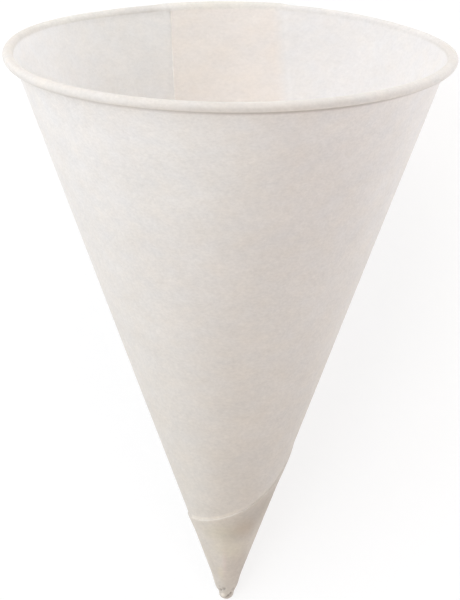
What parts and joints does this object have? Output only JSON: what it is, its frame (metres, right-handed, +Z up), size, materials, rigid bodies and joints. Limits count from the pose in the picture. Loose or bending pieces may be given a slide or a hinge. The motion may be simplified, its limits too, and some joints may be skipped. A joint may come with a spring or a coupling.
{
  "type": "cone paper cup",
  "caption": "Paper drinking cup wound from one sheet into a pointed cone, with a rolled rim and a lapped seam, lying on its side as it rests when nobody holds it.",
  "frame": {"origin": "centre of the cup's outline on the surface that it lies on", "axes": "+Z up from that surface; the mouth opens towards -Y and a little upward; the tip points towards +Y; X is across the cup, and the cup's own axis lies in the plane X = 0, about 21.4 degrees above the surface"},
  "size_m": [0.084, 0.1136, 0.0782],
  "materials": {
    "paper": "uncoated white paper, matt"
  },
  "bodies": {
    "root": {"cone_cup": "paper"}
  },
  "joints": []
}
